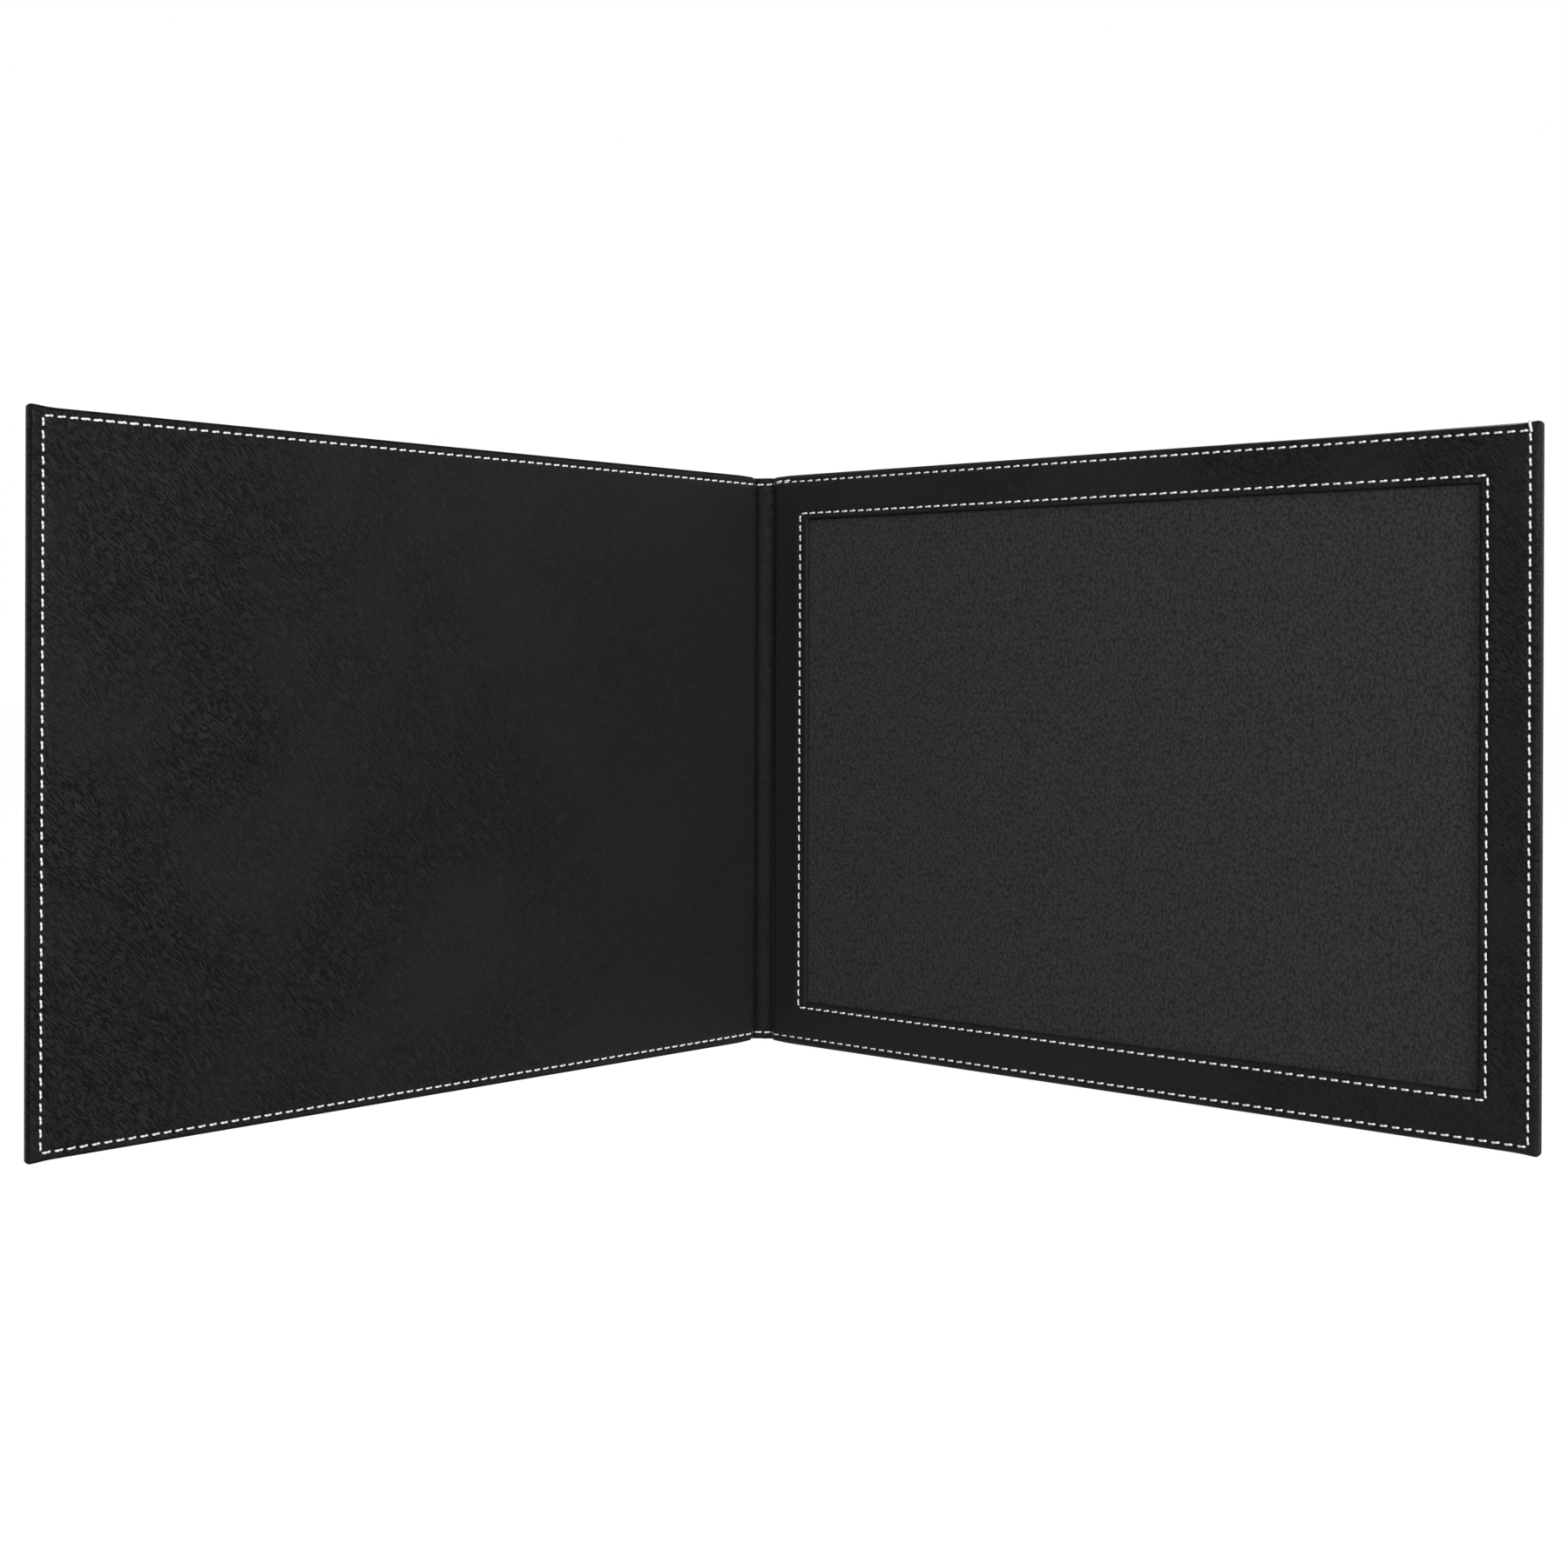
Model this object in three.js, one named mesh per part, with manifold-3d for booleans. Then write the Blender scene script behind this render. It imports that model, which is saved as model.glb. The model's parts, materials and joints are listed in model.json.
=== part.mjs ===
// Diploma cover: two board covers in black leatherette joined by a soft spine strip, standing open on
// their long bottom edges. The right cover holds a sewn window frame over a textured backing sheet.
// Millimetres, +Z up. The right cover lies in the XZ plane, its inside facing -Y.
import * as THREE from 'three';
import * as BufferGeometryUtils from 'three/addons/utils/BufferGeometryUtils.js';
import Module from 'manifold-3d';

const wasm = await Module();
wasm.setup();

// Driving sizes
const coverWidth = 305; // from the crease to the outer edge
const coverHeight = 235;
const creaseBend = 40; // degrees that each crease is bent as it stands; 100 degrees between the covers
const spineWidth = 9.4; // between the two crease axes
const cornerRadius = 1.2; // of each cover, seen from the front
const edgeRound = 0.8; // of the folded leatherette edge

// Layers of a cover, from the outside in
const skin = 0.7; // outer leatherette
const glueLine = 0.2; // between glued layers
const board = 1.5; // greyboard
const turnIn = 15; // outer leatherette folded over the board's edge
const lining = 0.7; // inner leatherette
const liningInset = 0.4; // lining edge short of the cover's edge
const liningRound = 0.25;
const backing = 0.5; // textured sheet seen in the window
const backingInset = 1.2;
const pocket = 0.25; // room for the certificate under the frame
const frameSkin = 0.5; // leatherette of the window frame
const frameGlue = 0.1;
const frameCard = 0.4; // card inside the frame
const frameTurn = 10; // frame leatherette folded under the card at the window
const frameRound = 0.8;

// Creases
const creaseRelief = 1.4; // from a crease axis to the folded edge of the lining beside it
const flap = 0.6; // lining folded down over the board's edge at the crease
const hingeClearance = 0.25; // between the rounded edge of a cover's skin and the hollow edge of the strip
const stripLining = 0.6;
const stripInset = 0.7; // strip lining short of each crease axis
const stripCrown = 0.25; // the middle of the strip lining stands this proud of its edges
const noseSides = 12;

// Window frame, measured on the stitch line
const windowMarginSpine = 14.4; // from the crease edge of the cover
const windowMarginOuter = 16.4;
const windowMarginTop = 15.8;
const windowMarginBottom = 15.8;
const lip = 2.4; // from the window's stitch line to the edge of the opening

// Stitching
const stitchPitch = 4;
const seamInset = 3; // from the edges of the cover
const threadWidth = 0.9;
const threadHeight = 0.75; // inside, at the middle of a stitch
const threadHeightOutside = 0.55;
const knotWidth = 0.3; // where the thread dips into its needle hole
const knotHeight = 0.2;
const grooveWidth = 1.3;
const grooveDepth = 0.3;
const frameGrooveDepth = 0.25;
const seatGap = 0.08; // between a thread and the groove under it
const seamStart = 1; // first needle hole, from the crease edge of a cover
const stripSeamEnd = 0.8; // last needle hole, from the edge of the strip lining

// Heights above a cover's outer face
const boardLow = skin + glueLine;
const boardTop = boardLow + board;
const liningLow = boardTop + glueLine;
const liningTop = liningLow + lining;
const backingTop = liningLow + backing;
const frameLow = backingTop + pocket;
const cardLow = frameLow + frameSkin + frameGlue;
const cardTop = cardLow + frameCard;
const frameTop = cardTop + frameGlue + frameSkin;
const stripLow = skin + glueLine;
const stripTop = stripLow + stripLining;

// Places across a cover, from its crease axis outwards
const coverStart = creaseRelief;
const coverEnd = creaseRelief + coverWidth;
const boardStart = coverStart + flap + glueLine;

// Materials
const leatherette = (color) => new THREE.MeshStandardMaterial({ color, roughness: 0.62, metalness: 0 });
const outerLeather = () => leatherette(0x212121);
const liningLeather = () => leatherette(0x242424);
const greyboard = () => new THREE.MeshStandardMaterial({ color: 0x8d8a82, roughness: 0.95, metalness: 0 });
const backingCloth = () => new THREE.MeshStandardMaterial({ color: 0x2e2e2e, roughness: 0.9, metalness: 0 });
const whiteThread = () => new THREE.MeshStandardMaterial({ color: 0xe6e4de, roughness: 0.7, metalness: 0 });

const beyond = 1; // how far a cut reaches past the faces that it opens

// Solids
function solid(geometry) {
  const bare = geometry.clone();
  bare.deleteAttribute('normal');
  bare.deleteAttribute('uv');
  const merged = BufferGeometryUtils.mergeVertices(bare, 1e-4);
  return new wasm.Manifold(new wasm.Mesh({
    numProp: 3,
    vertProperties: new Float32Array(merged.attributes.position.array),
    triVerts: new Uint32Array(merged.index.array),
  }));
}

function geometryOf(manifold) {
  const mesh = manifold.getMesh();
  const geometry = new THREE.BufferGeometry();
  geometry.setAttribute('position', new THREE.BufferAttribute(new Float32Array(mesh.vertProperties), 3));
  geometry.setIndex(new THREE.BufferAttribute(new Uint32Array(mesh.triVerts), 1));
  geometry.computeVertexNormals();
  return geometry;
}

function node(name, geometry, material) {
  const mesh = new THREE.Mesh(geometry, material);
  mesh.name = name;
  return mesh;
}

// A cover's own coordinates: a runs from the crease axis outwards, z up, h from the outer face inwards.
// side is 1 for the right cover and -1 for the left; the crease axis passes through the middle of the skin.
const depthOf = (h) => skin / 2 - h;

function block(side, a0, a1, z0, z1, h0, h1) {
  const geometry = new THREE.BoxGeometry(a1 - a0, h1 - h0, z1 - z0);
  geometry.translate(side * (a0 + a1) / 2, depthOf((h0 + h1) / 2), (z0 + z1) / 2);
  return solid(geometry);
}

function roundedPlate(side, a0, a1, z0, z1, h0, h1, round) {
  const x0 = Math.min(side * a0, side * a1) + round;
  const x1 = Math.max(side * a0, side * a1) - round;
  const low = z0 + round;
  const high = z1 - round;
  const r = cornerRadius;
  const outline = new THREE.Shape();
  outline.moveTo(x0 + r, low);
  outline.lineTo(x1 - r, low);
  outline.absarc(x1 - r, low + r, r, -Math.PI / 2, 0);
  outline.lineTo(x1, high - r);
  outline.absarc(x1 - r, high - r, r, 0, Math.PI / 2);
  outline.lineTo(x0 + r, high);
  outline.absarc(x0 + r, high - r, r, Math.PI / 2, Math.PI);
  outline.lineTo(x0, low + r);
  outline.absarc(x0 + r, low + r, r, Math.PI, Math.PI * 1.5);
  const geometry = new THREE.ExtrudeGeometry(outline, {
    depth: h1 - h0 - 2 * round,
    bevelThickness: round,
    bevelSize: round,
    bevelSegments: 2,
    curveSegments: 3,
  });
  geometry.translate(0, 0, h0 + round - skin / 2);
  geometry.rotateX(Math.PI / 2);
  return solid(geometry);
}

// Round bar along a crease axis
function creaseBar(a, radius) {
  const geometry = new THREE.CylinderGeometry(radius, radius, coverHeight, noseSides);
  geometry.rotateX(Math.PI / 2);
  geometry.translate(a, 0, coverHeight / 2);
  return solid(geometry);
}

// Seams
const coverSeam = (side) => {
  const near = side * (coverStart + seamStart);
  const far = side * (coverEnd - seamInset);
  const top = coverHeight - seamInset;
  return [[near, top], [far, top], [far, seamInset], [near, seamInset]];
};

const windowSeam = () => {
  const near = coverStart + windowMarginSpine;
  const far = coverEnd - windowMarginOuter;
  const top = coverHeight - windowMarginTop;
  return [[near, windowMarginBottom], [far, windowMarginBottom], [far, top], [near, top]];
};

// Shallow channel that the thread has pressed into the leatherette
function groove(body, points, closed, h0, h1) {
  const half = grooveWidth / 2;
  const count = closed ? points.length : points.length - 1;
  let result = body;
  for (let i = 0; i < count; i += 1) {
    const [ax, az] = points[i];
    const [bx, bz] = points[(i + 1) % points.length];
    const cut = block(
      1,
      Math.min(ax, bx) - half, Math.max(ax, bx) + half,
      Math.min(az, bz) - half, Math.max(az, bz) + half,
      h0, h1,
    );
    result = result.subtract(cut);
  }
  return result;
}

// The same triangles, turned round if they enclose a negative volume
function facesOut(positions, index) {
  const corner = (i) => new THREE.Vector3().fromArray(positions, 3 * index[i]);
  let volume = 0;
  for (let i = 0; i < index.length; i += 3) {
    volume += corner(i).dot(corner(i + 1).cross(corner(i + 2)));
  }
  return volume < 0 ? [...index].reverse() : index;
}

// A thread with three-sided sections: wide and high at the middle of each stitch, thin at each needle hole
function thread(points, closed, seat, rise, inwards) {
  const stations = [];
  const legs = closed ? points.length : points.length - 1;
  for (let i = 0; i < legs; i += 1) {
    const from = new THREE.Vector2(...points[i]);
    const to = new THREE.Vector2(...points[(i + 1) % points.length]);
    const along = to.clone().sub(from);
    const stitches = Math.max(1, Math.round(along.length() / stitchPitch));
    const across = new THREE.Vector2(-along.y, along.x).normalize();
    for (let k = 0; k < 2 * stitches; k += 1) {
      const place = from.clone().addScaledVector(along, k / (2 * stitches));
      stations.push({ place, across, wide: k % 2 === 1, corner: k === 0 });
    }
    if (!closed && i === legs - 1) {
      stations.push({ place: to, across, wide: false, corner: false });
    }
  }
  const count = stations.length;
  const direction = inwards ? 1 : -1;
  const positions = [];
  stations.forEach((station, i) => {
    const across = station.across.clone();
    if (station.corner && (closed || i > 0)) {
      const before = stations[(i + count - 1) % count].across;
      across.add(before).normalize();
    }
    const half = (station.wide ? threadWidth : knotWidth) / 2;
    const top = station.wide ? rise : knotHeight;
    const left = station.place.clone().addScaledVector(across, half);
    const right = station.place.clone().addScaledVector(across, -half);
    positions.push(left.x, depthOf(seat), left.y);
    positions.push(right.x, depthOf(seat), right.y);
    positions.push(station.place.x, depthOf(seat + direction * top), station.place.y);
  });
  const index = [];
  const segments = closed ? count : count - 1;
  for (let i = 0; i < segments; i += 1) {
    const a = 3 * i;
    const b = 3 * ((i + 1) % count);
    for (let j = 0; j < 3; j += 1) {
      const k = (j + 1) % 3;
      index.push(a + j, b + j, b + k, a + j, b + k, a + k);
    }
  }
  if (!closed) {
    const last = 3 * (count - 1);
    index.push(0, 1, 2, last, last + 2, last + 1);
  }
  const geometry = new THREE.BufferGeometry();
  geometry.setAttribute('position', new THREE.Float32BufferAttribute(positions, 3));
  geometry.setIndex(facesOut(positions, index));
  geometry.computeVertexNormals();
  return geometry;
}

const outsideSeat = grooveDepth - seatGap;

// Outer leatherette: a sheet folded over three edges of the board and turned in under the lining
function outerSkin(side) {
  const past = 2 * edgeRound + cornerRadius;
  let body = roundedPlate(side, -past, coverEnd, 0, coverHeight, 0, boardTop, edgeRound);
  const high = coverHeight + beyond;
  body = body.subtract(block(side, -2 * past, 0, -beyond, high, -beyond, boardTop + beyond));
  body = body.subtract(block(side, -beyond, boardStart, -beyond, high, skin, boardTop + beyond));
  body = body.add(creaseBar(0, skin / 2));
  body = body.subtract(block(
    side, boardStart - beyond, coverEnd - skin, skin, coverHeight - skin, skin, boardTop - skin,
  ));
  body = body.subtract(block(
    side, boardStart - beyond, coverEnd - turnIn, turnIn, coverHeight - turnIn, skin, boardTop + beyond,
  ));
  return groove(body, coverSeam(side), false, -beyond, grooveDepth);
}

// Greyboard, its edges pressed thinner under the turned-in leatherette
function coverBoard(side) {
  const edge = skin + glueLine;
  const start = boardStart + glueLine;
  const thin = boardTop - skin - glueLine;
  const low = block(side, start, coverEnd - edge, edge, coverHeight - edge, boardLow, thin);
  const inner = turnIn + glueLine;
  const high = block(side, start, coverEnd - inner, inner, coverHeight - inner, boardLow, boardTop);
  return low.add(high);
}

// Lining of the plain cover, folded down over the board's edge at the crease
function plainLining(side) {
  const past = 2 * liningRound + cornerRadius;
  const outer = coverEnd - liningInset;
  const top = coverHeight - liningInset;
  let body = roundedPlate(
    side, coverStart - past, outer, liningInset, top, liningLow, liningTop, liningRound,
  );
  body = body.subtract(block(
    side, coverStart - 2 * past, coverStart, -beyond, coverHeight + beyond, 0, liningTop + beyond,
  ));
  const height = liningTop - liningRound;
  body = body.add(block(side, coverStart, coverStart + flap, liningInset, top, boardLow, height));
  return groove(body, coverSeam(side), false, liningTop - grooveDepth, liningTop + beyond);
}

const opening = {
  a0: coverStart + windowMarginSpine + lip,
  a1: coverEnd - windowMarginOuter - lip,
  z0: windowMarginBottom + lip,
  z1: coverHeight - windowMarginTop - lip,
};

function ringCut(outer, inner, h0, h1) {
  const whole = block(1, outer.a0, outer.a1, outer.z0, outer.z1, h0, h1);
  return whole.subtract(block(1, inner.a0, inner.a1, inner.z0, inner.z1, h0 - beyond, h1 + beyond));
}

const grown = (rectangle, by) => ({
  a0: rectangle.a0 - by,
  a1: rectangle.a1 + by,
  z0: rectangle.z0 - by,
  z1: rectangle.z1 + by,
});

const backingArea = {
  a0: boardStart,
  a1: coverEnd - backingInset,
  z0: backingInset,
  z1: coverHeight - backingInset,
};

// Leatherette of the window frame: rolled over the outer edges, folded under its card at the window
function frameLeather() {
  const past = 2 * frameRound + cornerRadius;
  let body = roundedPlate(1, coverStart - past, coverEnd, 0, coverHeight, liningLow, frameTop, frameRound);
  body = body.subtract(block(
    1, coverStart - 2 * past, coverStart, -beyond, coverHeight + beyond, 0, frameTop + beyond,
  ));
  const height = frameTop - frameRound;
  body = body.add(block(
    1, coverStart, coverStart + flap, liningInset, coverHeight - liningInset, boardLow, height,
  ));
  body = body.subtract(block(
    1, opening.a0, opening.a1, opening.z0, opening.z1, liningLow - beyond, frameTop + beyond,
  ));
  const inside = grown(backingArea, glueLine);
  body = body.subtract(block(1, inside.a0, inside.a1, inside.z0, inside.z1, liningLow - beyond, frameLow));
  body = body.subtract(ringCut(inside, grown(opening, frameSkin), frameLow + frameSkin, cardTop + frameGlue));
  body = body.subtract(ringCut(inside, grown(opening, frameTurn), frameLow - beyond, cardTop));
  body = groove(body, coverSeam(1), false, frameTop - frameGrooveDepth, frameTop + beyond);
  return groove(body, windowSeam(), true, frameTop - frameGrooveDepth, frameTop + beyond);
}

// Seams of the spine strip, in its own coordinates: a runs from the right crease, below 0 towards the left
const stripSeams = () => {
  const near = -(stripInset + stripSeamEnd);
  const far = -(spineWidth - stripInset - stripSeamEnd);
  const top = coverHeight - seamInset;
  return [[[near, top], [far, top]], [[near, seamInset], [far, seamInset]]];
};

// The strip's grooves run out through both of its edges
function stripGrooves(body, h0, h1) {
  return stripSeams().reduce((part, [[near, z], [far]]) => {
    const line = [[near + spineWidth, z], [far - spineWidth, z]];
    return groove(part, line, false, h0, h1);
  }, body);
}

// Middle of the outer leatherette, between the two crease axes
function stripSkin() {
  const hollow = skin / 2 + hingeClearance;
  const body = block(-1, 0, spineWidth, 0, coverHeight, 0, skin)
    .subtract(creaseBar(0, hollow))
    .subtract(creaseBar(-spineWidth, hollow));
  return stripGrooves(body, -beyond, grooveDepth);
}

// Lining of the strip, its face swelling between the creases
function stripInner() {
  const near = -stripInset;
  const far = -(spineWidth - stripInset);
  const section = new THREE.Shape();
  const side = depthOf(stripTop - stripCrown);
  section.moveTo(near, depthOf(stripLow));
  section.lineTo(near, side);
  section.quadraticCurveTo((near + far) / 2, depthOf(stripTop + stripCrown), far, side);
  section.lineTo(far, depthOf(stripLow));
  const geometry = new THREE.ExtrudeGeometry(section, {
    depth: coverHeight - 2 * liningInset,
    bevelEnabled: false,
    curveSegments: 8,
  });
  geometry.translate(0, 0, liningInset);
  return stripGrooves(solid(geometry), stripTop - stripCrown - grooveDepth, stripTop + beyond);
}

// Right cover, which stands still
const rightCover = new THREE.Group();
const frameSeat = frameTop - frameGrooveDepth + seatGap;
rightCover.add(
  node('right_outer_skin', geometryOf(outerSkin(1)), outerLeather()),
  node('right_board', geometryOf(coverBoard(1)), greyboard()),
  node(
    'window_backing',
    geometryOf(block(
      1, backingArea.a0, backingArea.a1, backingArea.z0, backingArea.z1, liningLow, backingTop,
    )),
    backingCloth(),
  ),
  node(
    'frame_card',
    geometryOf(ringCut(
      backingArea, grown(opening, frameSkin + frameGlue), cardLow, cardTop,
    )),
    greyboard(),
  ),
  node('frame_skin', geometryOf(frameLeather()), liningLeather()),
  node('window_seam_thread', thread(windowSeam(), true, frameSeat, threadHeight, true), whiteThread()),
  node('right_seam_thread_inside', thread(coverSeam(1), false, frameSeat, threadHeight, true), whiteThread()),
  node(
    'right_seam_thread_outside',
    thread(coverSeam(1), false, outsideSeat, threadHeightOutside, false),
    whiteThread(),
  ),
);

// Left cover, turned about the left crease
const leftCover = new THREE.Group();
const liningSeat = liningTop - grooveDepth + seatGap;
leftCover.position.x = -spineWidth;
leftCover.rotation.z = THREE.MathUtils.degToRad(creaseBend);
leftCover.add(
  node('left_outer_skin', geometryOf(outerSkin(-1)), outerLeather()),
  node('left_board', geometryOf(coverBoard(-1)), greyboard()),
  node('left_lining', geometryOf(plainLining(-1)), liningLeather()),
  node(
    'left_seam_thread_inside',
    thread(coverSeam(-1), false, liningSeat, threadHeight, true),
    whiteThread(),
  ),
  node(
    'left_seam_thread_outside',
    thread(coverSeam(-1), false, outsideSeat, threadHeightOutside, false),
    whiteThread(),
  ),
);

// Spine strip, turned about the right crease, carrying the left cover
const spine = new THREE.Group();
const stripSeat = stripTop - stripCrown - grooveDepth + seatGap;
spine.rotation.z = THREE.MathUtils.degToRad(creaseBend);
spine.add(
  node('spine_outer_skin', geometryOf(stripSkin()), outerLeather()),
  node('spine_lining', geometryOf(stripInner()), liningLeather()),
);
stripSeams().forEach((seam, i) => {
  const end = i === 0 ? 'top' : 'bottom';
  spine.add(
    node(`spine_thread_inside_${end}`, thread(seam, false, stripSeat, threadHeight, true), whiteThread()),
    node(
      `spine_thread_outside_${end}`,
      thread(seam, false, outsideSeat, threadHeightOutside, false),
      whiteThread(),
    ),
  );
});
spine.add(leftCover);

// The whole stands with the middle of its footprint at the origin
const diplomaCover = new THREE.Group();
diplomaCover.add(rightCover, spine);
diplomaCover.updateMatrixWorld(true);
const extent = new THREE.Box3().setFromObject(diplomaCover, true);
const middle = extent.getCenter(new THREE.Vector3());
diplomaCover.position.set(-middle.x, -middle.y, -extent.min.z);

export default diplomaCover;
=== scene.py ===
# Diploma cover in black leatherette, standing open on its long edges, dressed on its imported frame.
import json
import math

import bmesh
import bpy
import numpy as np
from mathutils import Matrix, Vector


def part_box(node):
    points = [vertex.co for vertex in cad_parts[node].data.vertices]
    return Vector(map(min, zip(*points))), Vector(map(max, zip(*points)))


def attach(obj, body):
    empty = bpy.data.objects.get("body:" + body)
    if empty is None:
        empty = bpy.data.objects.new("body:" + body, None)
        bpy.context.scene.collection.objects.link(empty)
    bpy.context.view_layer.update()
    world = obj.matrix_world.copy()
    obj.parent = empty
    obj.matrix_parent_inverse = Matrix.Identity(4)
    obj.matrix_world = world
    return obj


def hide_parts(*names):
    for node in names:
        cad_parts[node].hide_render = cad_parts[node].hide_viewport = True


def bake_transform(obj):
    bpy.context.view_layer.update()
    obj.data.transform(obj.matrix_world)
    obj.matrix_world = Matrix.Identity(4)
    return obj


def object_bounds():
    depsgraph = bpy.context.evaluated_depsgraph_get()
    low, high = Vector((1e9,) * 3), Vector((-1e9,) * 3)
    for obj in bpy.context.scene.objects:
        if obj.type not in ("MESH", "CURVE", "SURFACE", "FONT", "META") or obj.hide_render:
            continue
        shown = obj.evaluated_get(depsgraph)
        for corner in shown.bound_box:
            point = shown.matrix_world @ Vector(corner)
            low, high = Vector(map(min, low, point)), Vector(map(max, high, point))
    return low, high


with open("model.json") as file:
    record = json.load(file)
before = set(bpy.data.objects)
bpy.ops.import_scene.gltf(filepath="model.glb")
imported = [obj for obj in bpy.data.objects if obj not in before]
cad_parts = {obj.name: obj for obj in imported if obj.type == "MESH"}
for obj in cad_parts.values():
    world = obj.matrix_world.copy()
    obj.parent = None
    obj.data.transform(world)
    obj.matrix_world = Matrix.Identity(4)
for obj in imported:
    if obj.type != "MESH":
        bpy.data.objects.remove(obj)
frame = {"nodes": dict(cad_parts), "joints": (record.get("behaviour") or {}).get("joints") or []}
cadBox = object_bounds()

print("frame loaded")

# Lengths below are millimetres until they are placed.
mm = 0.001
scene = bpy.context.scene


# Places taken from the frame
axisAt = {j["name"]: Vector(j["pos_m"]) / mm for j in frame["joints"]}
rightAxis = axisAt["right_crease"]
stripRun = axisAt["left_crease"] - rightAxis
spineWidth = stripRun.length
bend = math.atan2(-stripRun.y, -stripRun.x)
skinBox = [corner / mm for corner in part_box("right_outer_skin")]
frameBox = [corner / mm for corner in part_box("frame_skin")]
backingBox = [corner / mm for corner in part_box("window_backing")]
height = skinBox[1].z
halfSkin = skinBox[1].y - rightAxis.y
coverEnd = skinBox[1].x - rightAxis.x
crease = frameBox[0].x - rightAxis.x
boardTop = skinBox[1].y - skinBox[0].y
frameTop = skinBox[1].y - frameBox[0].y
backingTop = skinBox[1].y - backingBox[0].y

# What the sheets share
sheets = {
    "skin": 2 * halfSkin,
    "liningTop": boardTop + 0.9,
    "liningLow": boardTop + 0.2,
    "liningThick": 0.6,
    "frameThick": 0.5,
    "liningInset": 0.95,
    "liningRound": 0.42,
    "frameRound": 1.5,
    "outsideRound": 0.95,
    "pocketTop": backingTop + 0.25,
    "bendReach": 2.0,  # half the width of a soft bend at a crease
    "cornerRound": 1.3,
    "cornerFlare": {"top": 0.7, "bottom": 0.45},  # the turned-in corners stand a little proud
    "trim": {1: 1.35, -1: 0.2},  # each cover is cut this much lower at its outer top corner
    "spread": {1: (0, 0), -1: (0.2, 0.4)},  # bulge of the outer edge at the foot, and what the top adds
    "spineDip": 0.45,  # the spine is drawn in a little at both ends
    "turnIn": 15.0,  # outer leatherette folded over the board
    "frameTurn": 10.0,  # frame leatherette folded under its card
    "lap": 0.02,  # between a folded edge and the sheet it belongs to
}

# The frame's window, measured on its stitch line from the cover's edges
window = {
    "spine": 14.4,
    "outer": 16.4,
    "top": 16.2,
    "bottom": 15.8,
    "lip": 2.4,  # from the stitch line to the opening
    "spineLip": 3.6,
    "lipRound": 0.8,
    "lipTurns": (90, 55, 25, 0),  # degrees of the rounding, from the face to the opening
}

# The outer seam: how far in from each edge it was sewn
seam = {
    "top": {1: (2.5, 2.9), -1: (3.0, 3.0)},  # near the crease and at the outer corner
    "spineTop": 2.75,
    "bottom": 2.9,
    "outer": {1: 3.2, -1: 4.0},
    "pitch": 4.0,
    "near": crease + 1.0,
}


def easeBetween(low, high, value):
    t = np.clip((value - low) / (high - low), 0, 1)
    return t * t * (3 - 2 * t)


# side 1 is the right cover, -1 the left. a runs from the crease axis outwards (below 0 on the strip),
# z up, h from the outer face inwards.
def unrolled(side, a):
    return -a if side > 0 else spineWidth + a


# How a cover was really cut: out of square, its outer corners rounded and slightly flared
def cutToShape(side, a, z):
    reach = sheets["cornerRound"]
    across = np.clip((a - (coverEnd - reach)) / reach, 0, 1)
    upright = np.clip(np.maximum(z - (height - reach), reach - z) / reach, 0, 1)
    up = np.where(z > height / 2, 1, -1)
    newA = a - reach * across * (1 - np.sqrt(1 - upright ** 2 / 2))
    newZ = z - up * reach * upright * (1 - np.sqrt(1 - across ** 2 / 2))
    foot, more = sheets["spread"][side]
    newA = newA + (foot + more * z / height) * np.exp(-((coverEnd - a) / 2.5) ** 2)
    flare = sheets["cornerFlare"]
    outermost = np.exp(-((coverEnd - a) / 4.5) ** 2)
    newZ = newZ + flare["top"] * outermost * np.exp(-((height - z) / 6) ** 2)
    newZ = newZ - flare["bottom"] * outermost * np.exp(-(z / 6) ** 2)
    newZ = newZ - sheets["trim"][side] * np.clip(a / coverEnd, 0, 1) * z / height
    drawnIn = sheets["spineDip"] * (1 - easeBetween(-1, 11, a))
    newZ = newZ - drawnIn * (2 * z / height - 1)
    return newA, newZ


def place(side, a, z, h):
    a, z, h = np.broadcast_arrays(np.asarray(a, float), z, h)
    a, z = cutToShape(side, a, z)
    u = unrolled(side, a)
    x, y = -u, halfSkin - h
    for start in (spineWidth, 0.0):
        angle = bend * easeBetween(start - sheets["bendReach"], start + sheets["bendReach"], u)
        across = x + start
        x, y = np.cos(angle) * across - np.sin(angle) * y - start, np.sin(angle) * across + np.cos(angle) * y
    return np.stack([rightAxis.x + x, rightAxis.y + y, z], axis=-1) * mm


# Colours and shader nodes
def paint(hexText, tone=1.0):
    parts = [int(hexText[i:i + 2], 16) / 255 for i in (1, 3, 5)]
    linear = [c / 12.92 if c <= 0.04045 else ((c + 0.055) / 1.055) ** 2.4 for c in parts]
    return [c * tone for c in linear] + [1.0]


def addNode(tree, kind, sockets=None, **settings):
    made = tree.nodes.new(kind)
    for name, value in settings.items():
        setattr(made, name, value)
    for name, value in (sockets or {}).items():
        if isinstance(value, bpy.types.Node):
            value = value.outputs[0]
        if isinstance(value, bpy.types.NodeSocket):
            tree.links.new(value, made.inputs[name])
        else:
            made.inputs[name].default_value = value
    return made


def newMaterial(name):
    made = bpy.data.materials.new(name)
    made.use_nodes = True
    made.node_tree.nodes.clear()
    return made, made.node_tree


def perMetre(sizeMm):
    return 1 / (sizeMm * mm)


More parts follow.
